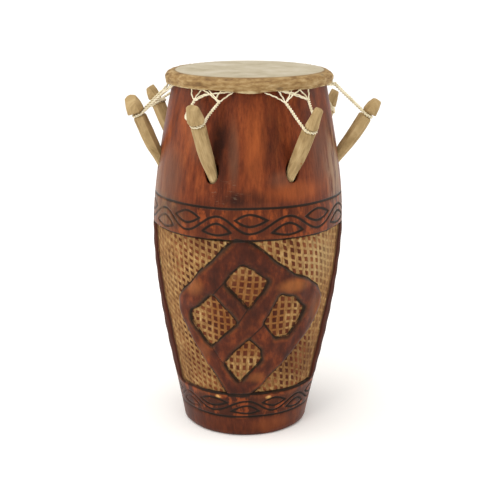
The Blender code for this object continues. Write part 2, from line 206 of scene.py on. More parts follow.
# Where one bar passes under another, the knife left a cut across it.
SEAMS = (
    ((-13.5, 74.5), (-22.0, 65.0)), ((-24.5, 33.0), (-16.5, 21.0)),
    ((1.0, 58.5), (-5.4, 48.5)), ((11.5, 48.0), (1.5, 38.0)),
)
CORNER_SHARE = 0.06
WINDOW_WORN = 0.001


def on_panel(corners):
    """Corners in degrees and percent, made metres round the drum and up it."""
    height = PANEL_TOP - PANEL_FOOT
    return np.array([(x * PANEL_DEGREE, PANEL_FOOT + height * y / 100.0) for x, y in corners])


def corners_off(points):
    """An outline with each of its corners cut back."""
    ahead = np.roll(points, -1, axis=0)
    taken = (ahead - points) * CORNER_SHARE
    return np.stack([points + taken, ahead - taken], axis=1).reshape(-1, 2)


def line_distance(across, height, start, end):
    """Distance from a straight line between two places."""
    run, climb = end - start
    share = ((across - start[0]) * run + (height - start[1]) * climb) / (run * run + climb * climb)
    share = np.clip(share, 0, 1)
    return np.hypot(across - start[0] - share * run, height - start[1] - share * climb)


def outline_distance(across, height, points):
    """Signed distance from a closed outline, negative inside it."""
    nearest = np.full_like(across, 1.0)
    inside = np.zeros(across.shape, bool)
    for start, end in zip(points, np.roll(points, -1, axis=0)):
        nearest = np.minimum(nearest, line_distance(across, height, start, end))
        run, climb = end - start
        crossing = (height - start[1]) / (climb or 1.0) * run + start[0]
        inside ^= ((start[1] > height) != (end[1] > height)) & (across < crossing)
    return np.where(inside, -nearest, nearest)


def seam_distance(across, height):
    """Distance from the nearest cut across a bar."""
    cuts = [line_distance(across, height, *on_panel(seam)) for seam in SEAMS]
    return np.minimum(np.minimum.reduce(cuts), FAR)


# The crosshatch of each part of a panel: spacing of the upright cuts in degrees and their lean in
# degrees a metre, then spacing of the level cuts in metres and their fall in metres a degree.
HATCH_LEFT = (4.15, 25.0, 0.0104, 0.00085)
HATCH_RIGHT = (4.45, 75.0, 0.0108, 0.00085)
HATCH_WINDOWS = (
    (4.3, -15.0, 0.0108, 0.0),
    (4.05, 20.0, 0.0114, 0.0003),
    (4.5, 15.0, 0.0112, 0.0002),
    (4.4, -10.0, 0.0126, 0.0003),
)
HATCH_CENTRE = 0.21
HATCH_DIVIDE = -3.0
# The height at which the upright cuts are as far apart as stated: they spread with the girth.
HATCH_GAUGE = 0.3
WINDOW_MARGIN = 0.003
BETWEEN_BANDS = 0.2
# How far an unsteady hand strayed: a size, then how fast it comes and goes with each measure.
UPRIGHT_STRAY = (0.1, 61.0, 0.11)
LEVEL_STRAY = (0.13, 25.0, 0.21)
EDGE_STRAYS = ((0.0009, 95.0, 60.0), (0.0006, 0.0, 190.0))
RING_STRAYS = ((0.0005, 3.0, 0.0), (0.0003, 7.0, 40.0))


def stray(one, other, size, by_one, by_other):
    """How far a cut strays at places with two measures."""
    return size * np.sin(one * by_one + other * by_other)


def hatch_counts(azimuth, height, hatch):
    """How many upright and level cuts lie between a place and the panel's middle."""
    spacing, lean, rise, fall = hatch
    slack = (barrel_radius(height) / barrel_radius(np.array(HATCH_GAUGE))) ** 0.5
    upright = (azimuth * slack + lean * (height - HATCH_CENTRE)) / spacing
    level = (height + fall * azimuth) / rise
    upright = upright + stray(height, azimuth, *UPRIGHT_STRAY)
    return upright, level + stray(height, azimuth, *LEVEL_STRAY)


def carving(azimuth, height):
    """Every carved thing at a place: distances from the lines and the panels, and hatch counts."""
    wander = sum(
        size * np.sin(np.radians(azimuth * turns + start)) for size, turns, start in RING_STRAYS
    )
    ring = np.full_like(height, FAR)
    for ring_height in RINGS:
        away = height - ring_height - wander
        ring = np.where(np.abs(away) < np.abs(ring), away, ring)
    in_low = height < BETWEEN_BANDS
    low, high = (wave_lines(azimuth, height, wave) for wave in (LOWER_WAVE, UPPER_WAVE))
    line, leaf = (np.where(in_low, *pair) for pair in zip(low, high))

    on_front = np.abs(azimuth) < 90.0
    from_middle = np.where(on_front, azimuth, (azimuth + 360.0) % 360.0 - 180.0)
    across = from_middle * PANEL_DEGREE
    uneven = sum(stray(height, across, *size_and_pace) for size_and_pace in EDGE_STRAYS)
    lozenge = outline_distance(across, height, corners_off(on_panel(LOZENGE))) + uneven
    border = outline_distance(across, height, on_panel(BORDER)) + uneven
    windows = [
        outline_distance(across, height, corners_off(on_panel(window))) - uneven - WINDOW_WORN
        for window in WINDOWS
    ]
    edge = np.minimum(-lozenge, np.minimum.reduce(windows))

    on_left = from_middle < HATCH_DIVIDE
    left, right = (hatch_counts(from_middle, height, side) for side in (HATCH_LEFT, HATCH_RIGHT))
    upright, level = (np.where(on_left, *pair) for pair in zip(left, right))
    for window, hatch in zip(windows, HATCH_WINDOWS):
        counts = hatch_counts(from_middle, height, hatch)
        near = window < WINDOW_MARGIN
        upright = np.where(near, counts[0], upright)
        level = np.where(near, counts[1], level)
    return dict(
        ring=ring, line=line, leaf=leaf, upright=upright, level=level, border=border,
        sunk=np.maximum(border, edge), edge=np.clip(edge, -FAR, FAR),
        seam=np.where(lozenge < 0, seam_distance(across, height), FAR),
    )


def soft_step(low, high, values):
    """0 below low, 1 above high, and a smooth rise between."""
    share = np.clip((values - low) / (high - low), 0, 1)
    return share * share * (3 - 2 * share)


# Two chips in the lower band: azimuth and height.
CHIPS = ((-23.0, 0.072), (19.0, 0.071))
CHIP_SIZE = 0.0045
CHIP_DEPTH = 0.0016
CHIP_RADIUS = 0.113
HATCH_RELIEF = 0.0009
HATCH_LEVEL = 0.35
BAR_ROUNDING = 0.0016
BAR_SHOULDER = 0.008
BAR_LUMPS = 0.0007
EDGE_SLOPE = 0.0016
PANEL_FADE = 0.004
SEAM_DEPTH = 0.0016
SEAM_REACH = 0.0022
TOOL_MARKS = 0.00035


def surface_cut(azimuth, height, found):
    """How far the carved surface lies inside the plain barrel."""
    nearest = np.minimum.reduce([np.abs(found[key]) for key in ("ring", "line", "leaf")])
    cut = GROOVE_DEPTH * np.clip(1 - nearest / GROOVE_REACH, 0, 1)
    field = 1 - soft_step(-EDGE_SLOPE, EDGE_SLOPE, found["sunk"])
    ridges = [0.5 + 0.5 * np.cos(math.tau * found[key]) for key in ("upright", "level")]
    island = ridges[0] * ridges[1]
    cut += field * (PANEL_DEPTH - HATCH_RELIEF * (island - HATCH_LEVEL))
    in_panel = soft_step(PANEL_FOOT, PANEL_FOOT + PANEL_FADE, height)
    in_panel = in_panel * (1 - soft_step(PANEL_TOP - PANEL_FADE, PANEL_TOP, height))
    raised = (1 - field) * in_panel
    shoulder = np.clip(1 - found["sunk"] / BAR_SHOULDER, 0, 1) ** 2
    cut += raised * BAR_ROUNDING * shoulder
    cut += (1 - field) * SEAM_DEPTH * np.clip(1 - found["seam"] / SEAM_REACH, 0, 1)
    lumps = np.sin(azimuth * 0.35 + height * 70) * np.sin(height * 110 - azimuth * 0.22)
    cut += raised * BAR_LUMPS * lumps
    turn = np.radians(azimuth)
    cut += TOOL_MARKS * (np.sin(turn * 5 + height * 9) + np.sin(turn * 11 - height * 31) * 0.6)
    for centre, chip_height in CHIPS:
        aside, above = np.radians(azimuth - centre) * CHIP_RADIUS, height - chip_height
        cut += CHIP_DEPTH * np.clip(1 - (np.hypot(aside, above) / CHIP_SIZE) ** 2, 0, 1)
    return cut


# Rows of points up the outside: from, to and step. They are closest together at the bands.
ROWS = (
    (FOOT_EDGE, 0.034, 0.0065), (0.034, 0.081, 0.00155), (0.081, 0.3375, 0.0027),
    (0.3375, 0.3915, 0.00155), (0.3915, SHELL_HEIGHT - RIM_EDGE, 0.008),
)
BORE_STEP = 0.048
rows_up = [height for row in ROWS for height in rows_between(*row)] + [SHELL_HEIGHT - RIM_EDGE]
rows_down = rows_between(0.0, SHELL_HEIGHT, BORE_STEP)[:0:-1]
outline = [(FOOT_RADIUS - WALL, 0.0), (FOOT_RADIUS - FOOT_EDGE, 0.0)]
outline += [(float(barrel_radius(height)), height) for height in rows_up]
outline += [(NECK_RADIUS - RIM_EDGE, SHELL_HEIGHT), (NECK_RADIUS - WALL, SHELL_HEIGHT)]
outline += [(float(barrel_radius(height)) - WALL, height) for height in rows_down]
bm = bmesh.new()
turned(bm, outline, COLUMNS)
log = finished("carved_log", bm)

points = places(log.data)
azimuth, radius = polar(points)
outside = (radius > barrel_radius(points[:, 2]) - WALL / 3) & (points[:, 2] > FOOT_EDGE / 2)
outside &= points[:, 2] < SHELL_HEIGHT - RIM_EDGE / 2
found = carving(azimuth, points[:, 2])
cut = np.where(outside, surface_cut(azimuth, points[:, 2], found), 0.0)
points[:, :2] *= ((radius - cut) / radius)[:, None]
points[:, 0] += axis_x(points[:, 2])
put(log.data, points)

# The slanting holes that the pegs are driven into, each a little too wide at its mouth.
# Each peg: azimuth, lean from upright and sideways swing in degrees, length outside the log,
# then its head: length, width at its foot and at its top, and how much the top slants.
PEG_HEIGHT = 0.443
PEG_SEAT = 0.046
PEG_TIP_RADIUS = 0.0072
PEG_MOUTH_RADIUS = 0.0102
SEAT_MARGIN = 0.0006
HOLE_MARGIN = 0.0018
HOLE_OVERRUN = 0.03
HOLE_SIDES = 20
PEGS = (
    (-22.8, 25.0, -3.2, 0.1155, 0.028, 0.025, 0.018, 0.15),
    (27.5, 27.0, 6.5, 0.1125, 0.034, 0.0205, 0.0135, 0.05),
    (88.0, 33.0, 0.0, 0.109, 0.026, 0.024, 0.0165, 0.2),
    (129.0, 28.0, 2.0, 0.098, 0.026, 0.02, 0.015, -0.1),
    (182.0, 17.5, -2.0, 0.107, 0.026, 0.0235, 0.017, 0.1),
    (-123.0, 27.0, 1.0, 0.111, 0.024, 0.0215, 0.016, 0.2),
    (-82.0, 23.0, 0.0, 0.108, 0.029, 0.029, 0.0205, 0.3),
)


def peg_frame(azimuth, lean, swing):
    """Where a peg enters the log, its axis, and its outward and sideways directions."""
    turn = math.radians(azimuth)
    radial = Vector((math.sin(turn), -math.cos(turn), 0.0))
    tangent = Vector((math.cos(turn), math.sin(turn), 0.0))
    axis = radial * math.sin(math.radians(lean)) + tangent * math.sin(math.radians(swing))
    axis.z = math.cos(math.radians(lean))
    axis.normalize()
    outward = (radial - axis * radial.dot(axis)).normalized()
    mouth = around(azimuth, PEG_HEIGHT, float(barrel_radius(PEG_HEIGHT)))
    return mouth, axis, outward, axis.cross(outward)


def off_axis(peg_axes, start, turn, reach):
    """A place at a reach from a peg's axis, turned round it from its outward side."""
    outward, aside = peg_axes[2:]
    return start + (outward * math.cos(turn) + aside * math.sin(turn)) * reach


def loft(bm, rings):
    """Cover a row of closed rings of points with quads, and cap its ends."""
    sides = len(rings[0])
    steps = len(rings) - 1
    grid = bmesh.ops.create_grid(bm, x_segments=steps, y_segments=sides, size=1.0)
    for vert in grid["verts"]:
        step = round((vert.co.x + 1.0) / 2.0 * steps)
        side = round((vert.co.y + 1.0) / 2.0 * sides)
        vert.co = rings[step][side % sides]
    bmesh.ops.remove_doubles(bm, verts=grid["verts"], dist=SAME_PLACE)
    bmesh.ops.holes_fill(bm, edges=[edge for edge in bm.edges if edge.is_boundary])


peg_frames = [peg_frame(*peg[:3]) for peg in PEGS]
seat, mouth_radius = PEG_TIP_RADIUS + SEAT_MARGIN, PEG_MOUTH_RADIUS + HOLE_MARGIN
hole = (
    (-PEG_SEAT - HOLE_OVERRUN, seat), (-PEG_SEAT, seat),
    (0.0, mouth_radius), (HOLE_OVERRUN, mouth_radius),
)
turns = [math.tau * (side + 0.5) / HOLE_SIDES for side in range(HOLE_SIDES)]
bm = bmesh.new()
for peg_axes in peg_frames:
    starts = [(peg_axes[0] + peg_axes[1] * distance, size) for distance, size in hole]
    loft(bm, [[off_axis(peg_axes, start, turn, size) for turn in turns] for start, size in starts])
drill = finished("drill", bm)
boring = log.modifiers.new("peg_holes", "BOOLEAN")
boring.object = drill
boring.solver = "EXACT"
bored = bpy.data.meshes.new_from_object(log.evaluated_get(bpy.context.evaluated_depsgraph_get()))
log.modifiers.clear()
log.data = bored
bpy.data.objects.remove(drill)

# The stain reads these at every point: distances in millimetres, and counts of cuts.
points = places(bored)
azimuth, radius = polar(points, axis_x(points[:, 2]))
found = carving(azimuth, points[:, 2])
inner = radius < barrel_radius(points[:, 2]) - WALL / 2
for name, keys in (
    ("lines", ("ring", "line", "leaf")),
    ("hatch", ("upright", "level", "sunk")),
    ("edges", ("edge", "seam", "border")),
):
    values = []
    for key in keys:
        counted = key in ("upright", "level")
        values.append(found[key] if counted else np.where(inner, FAR, found[key]) * 1000.0)
    attribute = bored.attributes.new(name, "FLOAT_VECTOR", "POINT")
    attribute.data.foreach_set("vector", np.stack(values, axis=1).ravel())


class Shade:
    """A varying number in a finish: Python's operators on it add Math nodes."""

    def __init__(self, finish, socket):
        self.finish = finish
        self.socket = socket

    def math(self, operation, *values):
        return self.finish.node("Math", {"operation": operation}, dict(enumerate(values)))

    def __add__(self, other):
        return self.math("ADD", self, other)

    def __sub__(self, other):
        return self.math("SUBTRACT", self, other)

    def __rsub__(self, other):
        return self.math("SUBTRACT", other, self)

    def __mul__(self, other):
        return self.math("MULTIPLY", self, other)

    __radd__ = __add__
    __rmul__ = __mul__

    def __abs__(self):
        return self.math("ABSOLUTE", self)

    def least(self, other):
        return self.math("MINIMUM", self, other)

    def most(self, other):
        return self.math("MAXIMUM", self, other)

    def to_nearest(self):
        """How far a count is from the nearest whole number."""
        return self.math("PINGPONG", self, 0.5)

    def rise(self, low, high):
        """0 below low, 1 above high and smooth between, or a fall where low is above high."""
        settings = {"interpolation_type": "SMOOTHSTEP"}
        if low < high:
            return self.finish.node("MapRange", settings, {0: self, 1: low, 2: high})
        falling = {0: self, 1: high, 2: low, 3: 1.0, 4: 0.0}
        return self.finish.node("MapRange", settings, falling)


class Finish:
    """A material in the making, with its Principled shader."""

    def __init__(self, name):
        self.material = bpy.data.materials.new(name)
        self.material.use_nodes = True
        self.shader = self.material.node_tree.nodes["Principled BSDF"]
        self.place = self.node("TexCoord", output="Object")

    def feed(self, socket, value):
        if isinstance(value, Shade):
            self.material.node_tree.links.new(value.socket, socket)
        else:
            socket.default_value = value

    def node(self, kind, settings=None, inputs=None, output=0):
        """Add a node with its settings first and then the values or links of its sockets."""
        made = self.material.node_tree.nodes.new("ShaderNode" + kind)
        for name, value in (settings or {}).items():
            if name == "stops":
                ramp = made.color_ramp
                while len(ramp.elements) < len(value):
                    ramp.elements.new(0.5)
                for element, (position, colour) in zip(ramp.elements, value):
                    element.position = position
                    element.color = paint(colour)
            else:
                setattr(made, name, value)
        for name, value in (inputs or {}).items():
            self.feed(made.inputs[name], value)
        return Shade(self, made.outputs[output])

    def speckle(self, size, detail=3.0, roughness=0.55, stretch=(1.0, 1.0, 1.0), place=None):
        """Noise from 0 to 1 whose lumps are about a size in metres, drawn out along some axes."""
        inputs = {"Vector": place or self.place, "Scale": tuple(1.0 / share for share in stretch)}
        shaped = self.node("Mapping", {}, inputs)
        inputs = {"Vector": shaped, "Scale": 1.0 / size, "Detail": detail, "Roughness": roughness}
        return self.node("TexNoise", {}, inputs)

    def measure(self, axis, vector=None):
        """How far a vector, or else the place, goes along an axis."""
        return self.node("SeparateXYZ", {}, {0: vector or self.place}, axis)

    def ramp(self, value, *stops):
        return self.node("ValToRGB", {"stops": stops}, {0: value})

    def blend(self, share, under, over):
        """Lay one colour over another."""
        settings = {"data_type": "RGBA"}
        return self.node("Mix", settings, {0: share, 6: paint(under), 7: paint(over)}, 2)

    def layered(self, under, *layers):
        """Lay colours over one another, from the lowest up, each with its share."""
        for share, colour in layers:
            under = self.blend(share, under, colour)
        return under

    def vector(self, operation, *values, output="Vector"):
        """Maths on whole vectors."""
        settings = {"operation": operation}
        return self.node("VectorMath", settings, dict(enumerate(values)), output)

    def from_axis(self, shift):
        """The level way to a place from the log's axis, which stands so far to the left."""
        return self.vector("MULTIPLY_ADD", self.place, (1.0, 1.0, 0.0), (shift, 0.0, 0.0))

    def spot(self, centre, size):
        """1 at a place, falling to 0 at a size from it along each axis."""
        moved = self.vector("SUBTRACT", self.place, tuple(centre))
        scaled = self.vector("MULTIPLY", moved, tuple(1.0 / part for part in size))
        return self.vector("LENGTH", scaled, output="Value").rise(1.0, 0.2)

    def spotted(self, under, colour, spots, varied=1.0, limit=1.0):
        """Lay a colour on at spots: azimuth, height, radius, size along X, Y and Z, and share."""
        for azimuth, height, radius, *size, share in spots:
            strength = self.spot(around(azimuth, height, radius), size) * varied * share
            under = self.blend(strength.least(limit), under, colour)
        return under

    def parts(self, name):
        """The three numbers of a point attribute."""
        attribute = self.node("Attribute", {"attribute_name": name}, output="Vector")
        split = self.node("SeparateXYZ", {}, {0: attribute})
        outputs = split.socket.node.outputs
        return [Shade(self, outputs[index]) for index in range(3)]

    def bump(self, height, depth, strength):
        inputs = {"Height": height, "Distance": depth, "Strength": strength}
        self.feed(self.shader.inputs["Normal"], self.node("Bump", {}, inputs))

    def set(self, **inputs):
        for name, value in inputs.items():
            self.feed(self.shader.inputs[name.replace("_", " ")], value)


def paint(colour):
    """A colour written as a web colour, made linear; anything else is passed on."""
    if not isinstance(colour, str):
        return colour
    parts = [int(colour[index:index + 2], 16) / 255.0 for index in (1, 3, 5)]
    linear = [((part + 0.055) / 1.055) ** 2.4 if part > 0.04 else part / 12.92 for part in parts]
    return (*linear, 1.0)


stain = Finish("red_hardwood")
ring, line, leaf = stain.parts("lines")
upright, level, sunk = stain.parts("hatch")
edge, seam, border = stain.parts("edges")
height = stain.measure("Z")
grain = stain.speckle(0.0022, 4.0, 0.6, (1.0, 1.0, 22.0))
streaks = stain.speckle(0.011, 7.0, 0.68, (1.0, 1.0, 9.0))
patches = stain.speckle(0.075, 3.0, 0.55, (1.0, 1.0, 1.6))
clouds = stain.speckle(0.02, 4.0, 0.6, (1.0, 1.0, 1.8))
fine = stain.speckle(0.004, 5.0, 0.65)
red = stain.ramp(
    streaks * 0.45 + patches * 0.3 + clouds * 0.25,
    (0.35, "#3a1b0e"), (0.44, "#5f2a16"), (0.51, "#78381c"), (0.58, "#8f4824"), (0.68, "#a85c2e"),
)
red = stain.blend(grain.rise(0.56, 0.25) * 0.5, red, "#3a1a0d")

# On the neck: a pale painted sheen near its left and right edges, browner and almost black stains,
# the darkest of them partly the first peg's painted shadow, and places that were left redder.
stain_and_shadow_mottle = 0.45 + clouds.rise(0.36, 0.62) * 0.55
# Painted sheen: pale streaks where light glances off the neck and the upper band near their edges.
red = stain.spotted(red, "#9d8468", (
    (67, 0.455, 0.145, 0.03, 0.06, 0.075, 0.75), (71, 0.385, 0.145, 0.03, 0.06, 0.075, 0.6),
    (-76, 0.4, 0.145, 0.03, 0.06, 0.075, 0.45),
), streaks.rise(0.4, 0.58))
red = stain.spotted(red, "#7a5440", (
    (-34, 0.5, 0.14, 0.02, 0.08, 0.06, 0.55), (-58, 0.43, 0.145, 0.035, 0.08, 0.06, 0.6),
    (-9, 0.47, 0.145, 0.012, 0.08, 0.07, 0.6), (52, 0.47, 0.145, 0.03, 0.08, 0.08, 0.45),
    (20, 0.43, 0.148, 0.03, 0.08, 0.02, 0.4),
), 0.4 + streaks)
# The first two dark spots, right of the first peg, are partly stain and partly its painted shadow.
red = stain.spotted(red, "#2c140d", (
    (-18, 0.478, 0.145, 0.016, 0.08, 0.062, 1.3), (-14, 0.478, 0.145, 0.026, 0.08, 0.08, 0.6),
    (-3, 0.402, 0.15, 0.06, 0.08, 0.02, 0.95), (14, 0.495, 0.14, 0.026, 0.08, 0.08, 0.6),
    (46, 0.48, 0.14, 0.022, 0.08, 0.07, 0.45), (-50, 0.44, 0.145, 0.03, 0.08, 0.08, 0.35),
), stain_and_shadow_mottle, 0.92)
red = stain.spotted(red, "#a9592c", (
    (3, 0.48, 0.142, 0.024, 0.08, 0.08, 0.5), (30, 0.412, 0.15, 0.07, 0.08, 0.022, 0.5),
    (24, 0.018, 0.108, 0.05, 0.08, 0.02, 0.6), (-40, 0.5, 0.14, 0.022, 0.08, 0.05, 0.35),
), 0.35 + streaks)

# Below the neck the stain is darker and mottled on the bars, and plain beside the panels. Both
# bands show brighter wood, the lower through darker stain. Bar edges are rubbed bright on top and
# dirty at the very rim.
low_part = height.rise(0.4, 0.385)
mottle = stain.speckle(0.013, 4.0, 0.6, (1.0, 1.0, 2.0))
on_bar = edge.rise(0.0, 1.5) * edge.rise(40.0, 35.0)
bar_tone = stain.ramp(
    mottle * 0.65 + patches * 0.35,
    (0.37, "#2e130b"), (0.46, "#411b0f"), (0.54, "#552412"), (0.65, "#823d1b"),
)
bar_tone = stain.spotted(bar_tone, "#2c130b", ((0, 0.22, 0.148, 0.04, 0.08, 0.05, 0.6),))
bar_tone = stain.spotted(bar_tone, "#a0602f", (
    (-34, 0.262, 0.148, 0.022, 0.06, 0.022, 0.8), (29, 0.264, 0.148, 0.036, 0.06, 0.017, 0.95),
    (52, 0.215, 0.148, 0.03, 0.06, 0.04, 0.45), (-30, 0.15, 0.135, 0.016, 0.06, 0.03, 0.35),
    (8, 0.11, 0.125, 0.02, 0.06, 0.014, 0.55),
), 0.3 + mottle)
low_band = height.rise(0.084, 0.078) * height.rise(0.031, 0.037)
high_band = height.rise(0.338, 0.342) * height.rise(0.391, 0.387)
rubbed = (clouds * 0.75 + fine * 0.25).rise(0.44, 0.6)
bar_edge = abs(sunk - 4.6).rise(6.2, 0.8) * rubbed
worn_rim = edge.rise(-1.0, 0.6) * edge.rise(6.5, 2.0) * low_part * clouds.rise(0.36, 0.56)
beside = border.rise(0.0, 1.0) * border.rise(45.0, 40.0)
beside = beside * height.rise(0.074, 0.083) * height.rise(0.344, 0.336)
# Grey-brown dust on the left of the upper band and the neck above it, partly a painted sheen
# there.
dust_and_sheen = stain.spot(around(-60, 0.368, 0.15), (0.075, 0.07, 0.042))
scuffs = stain.speckle(0.0035, 3.0, 0.6, (6.0, 1.0, 1.0))
scuffed = stain.spot(around(-12, 0.412, 0.15), (0.05, 0.08, 0.03)) * scuffs.rise(0.58, 0.68)
red = stain.layered(
    red, (low_part * 0.48, "#3a180a"), (on_bar * 0.8, bar_tone),
    (height.rise(0.09, 0.07) * height.rise(0.03, 0.036) * 0.55, "#2b150c"),
    ((low_band + high_band) * mottle.rise(0.5, 0.64) * 0.6, "#a04d22"),
    (bar_edge * low_part * 0.35, "#8f4a23"), (worn_rim * 0.7, "#33291c"),
    (beside * 0.8, "#3c160c"), (dust_and_sheen * (0.45 + mottle.rise(0.42, 0.58)) * 0.5, "#70583c"),
    (scuffed * 0.2, "#a08a74"),
)

# The crosshatch: bare wood in the cuts, and islands of stain left standing between them. Cuts are
# narrower and everything is darker inside the lozenge. At the sides the upright cuts are faint.
spread = stain.speckle(0.009, 3.0) * 0.18 - 0.09
facing = stain.vector("NORMALIZE", stain.from_axis(MIDDLE_SHIFT))
sideways = stain.measure("X", facing)
worn_side = abs(sideways).rise(0.7, 0.86)
inside_frame = stain.spot(around(0, 0.212, 0.148), (0.094, 0.06, 0.098)).rise(0.0, 0.5)
left_field = sideways.rise(-0.3, -0.5)
wide = spread - inside_frame * 0.035
between_uprights = (upright.to_nearest() + wide - left_field * 0.05).rise(0.31, 0.2)
between_levels = (level.to_nearest() + wide + left_field * 0.07).rise(0.37, 0.27)
island = between_uprights.most(worn_side * 0.4) * between_levels * (1.0 - worn_side * 0.5)
bare_tone = stain.speckle(0.005, 4.0, 0.6, (1.0, 1.0, 3.0))
bare = stain.ramp(
    bare_tone, (0.28, "#6c4826"), (0.44, "#8c663e"), (0.58, "#a5804f"), (0.76, "#c6a877"),
)
bare = stain.blend(inside_frame * 0.66, bare, "#7a4319")
bare = stain.spotted(bare, "#cdb988", ((50, 0.3, 0.148, 0.055, 0.07, 0.06, 0.28),))
bare = stain.spotted(bare, "#5c3418", (
    (42, 0.13, 0.13, 0.065, 0.08, 0.07, 0.62), (-45, 0.12, 0.125, 0.05, 0.08, 0.05, 0.3),
    (-30, 0.33, 0.15, 0.05, 0.06, 0.02, 0.35), (12, 0.1, 0.12, 0.04, 0.06, 0.02, 0.4),
))
faded = stain.speckle(0.03, 3.0, 0.5)
dark_island = stain.ramp(
    faded, (0.33, "#3d1a0f"), (0.5, "#5b2817"), (0.62, "#7d472a"), (0.72, "#946541"),
)
dark_island = stain.blend(inside_frame * 0.6, dark_island, "#431b11")
hatch = stain.layered(
    bare, (island * 0.95, dark_island), (fine.rise(0.56, 0.7) * 0.45, "#47301c"),
)
in_field = sunk.rise(0.4, -0.8)

# Black-brown dirt in the scratched lines, painted shade along the foot of every bar, in the cuts
# across bars and along the panels' sides, and bare wood in chips.
kept = 1.0 - stain.spot(around(-62, 0.055, 0.12), (0.06, 0.08, 0.045)) * 0.75
kept = kept - dust_and_sheen * clouds.rise(0.35, 0.6) * 0.6
nearest = abs(ring).least(abs(line)).least(abs(leaf)) + (fine - 0.5) * 1.2
scratch = nearest.rise(2.6, 1.2) * kept
broken = stain.speckle(0.012, 3.0).rise(0.22, 0.5)
# Painted shade: a dark line in the sunk field at the foot of each bar's wall.
bar_foot_shade = abs(edge + 0.5 + (fine - 0.5) * 1.6).rise(2.5, 1.0) * broken
# Painted shade in the cuts where one bar passes under another.
seam_shade = (seam + (fine - 0.5)).rise(1.6, 0.5)
# Painted shade along the sides of the sunk field.
side_shade = abs(border).rise(2.2, 0.8) * 0.55
dirt_and_shade = scratch.most(bar_foot_shade).most(seam_shade * 0.85).most(side_shade)
colour = stain.layered(red, (in_field, hatch), (dirt_and_shade * 0.94, "#20170f"))
chips = [(*chip, 0.1115, 0.0065, 0.02, 0.0045, 1.0) for chip in CHIPS]
colour = stain.spotted(colour, "#d9a662", chips, fine.rise(0.3, 0.5))
dullness = 0.3 + in_field.most(beside) * 0.42 + clouds * 0.22
stain.set(Base_Color=colour, Roughness=dullness, Specular_IOR_Level=0.14)
relief = grain * 0.35 + streaks * 0.5 + clouds * 0.5 + island * in_field * 0.5 - dirt_and_shade * 0.6
stain.bump(relief, 0.0006, 0.8)
bored.materials.clear()
bored.materials.append(stain.material)
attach(log, "root")
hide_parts("shell")


# THE DRUMHEAD. One skin of rawhide, soaked and stretched over the open rim, its edge rolled round
# the neck into a thick wrinkled collar that the cords pull down. Scraped pale on the playing face.
FACE_HEIGHT = 0.58
FACE_RADIUS = 0.112
FACE_RINGS = 14
SKIN_GAP = 0.0003
HEM_HEIGHT = 0.5605
HEM_RADIUS = 0.1261
HIDE_COLUMNS = 360
# Down the outside of the collar from the playing face, and under the hem: radius and height.
COLLAR = (
    (0.115, 0.5798), (0.117, 0.5793), (0.1186, 0.579), (0.1204, 0.5791), (0.1222, 0.5788),
    (0.124, 0.578), (0.1258, 0.5769), (0.1275, 0.5755), (0.1289, 0.574), (0.13, 0.5722),
    (0.1306, 0.5706), (0.1306, 0.5682), (0.1301, 0.566), (0.1294, 0.5642), (0.1291, 0.5627),
    (0.129, 0.5613), (0.1286, 0.5603), (0.1276, 0.5598), (0.1262, 0.5597), (0.1248, 0.5602),
)
AGAINST_THE_LOG = (0.5625, 0.568, 0.5735)
# The hem's waves: size, how many to a turn, and start. Its sags: azimuth, width and drop.
HEM_WAVES = ((0.0005, 4, 0.6), (0.0004, 9, 2.0), (0.0003, 17, 0.0))
HEM_SAGS = ((-1.0, 9.0, 0.0022), (32.0, 7.0, -0.0015))
# Where the collar swells: azimuth, width and size. Its broad dip: azimuth and width.
COLLAR_BULGES = ((-88.0, 9.0, 0.0016), (86.0, 6.0, 0.0012), (-70.0, 6.0, 0.0008))
COLLAR_DIP = (95.0, 50.0)


def hump(azimuth, centre, width):
    """1 at a centre, dying away about a width to each side."""
    return np.exp(-((azimuth - centre) / width) ** 2)


def hem_drop(azimuth):
    """How far below its mean height the hem hangs, in metres, at an azimuth in degrees."""
    turn = np.radians(azimuth)
    drop = sum(size * np.sin(turn * count + start) for size, count, start in HEM_WAVES)
    for centre, width, sag in HEM_SAGS:
        drop = drop + sag * hump(azimuth, centre, width)
    return drop


def lumpy(points, *scale):
    """Noise at every point, with so many lumps to the metre along each axis."""
    return np.array([noise.noise(Vector(point * scale)) for point in points])


lining = SHELL_HEIGHT + SKIN_GAP
outline = [(0.0, FACE_HEIGHT)]
outline += [(radius, FACE_HEIGHT) for radius in np.linspace(0.01, FACE_RADIUS, FACE_RINGS)]
outline += COLLAR
outline += [(float(barrel_radius(height)) + SKIN_GAP, height) for height in AGAINST_THE_LOG]
outline += [(NECK_RADIUS - RIM_EDGE, lining), (0.06, lining), (0.0, lining)]
bm = bmesh.new()
turned(bm, outline, HIDE_COLUMNS)
hide = finished("rawhide_head", bm, 50.0)

points = places(hide.data)
azimuth, radius = polar(points)
turn = np.radians(azimuth)
down = soft_step(0.5785, 0.564, points[:, 2])
skin_side = (radius > barrel_radius(points[:, 2]) + 0.002) | (points[:, 2] > 0.5785)
points[:, 2] -= hem_drop(azimuth) * down * skin_side
lumps, folds = lumpy(points, 55, 55, 95), lumpy(points, 190, 190, 42)
pleats = lumpy(points, 330, 330, 60)
collar = soft_step(0.116, 0.123, radius) * skin_side
swell = collar * (0.002 * lumps + 0.001 * folds + 0.0006 * pleats)
for centre, width, bulge in COLLAR_BULGES:
    swell += collar * bulge * hump(azimuth, centre, width)
points[:, :2] *= ((radius + swell) / np.maximum(radius, 0.001))[:, None]
points[:, 2] += collar * (0.0005 * folds - 0.0014 * hump(azimuth, *COLLAR_DIP))
face = (points[:, 2] > 0.578) & (radius < 0.12)
points[:, 2] += face * 0.0003 * (np.sin(turn * 2 + 1.0) * radius / 0.12 - 0.4)
points[:, 0] += axis_x(points[:, 2])
put(hide.data, points)
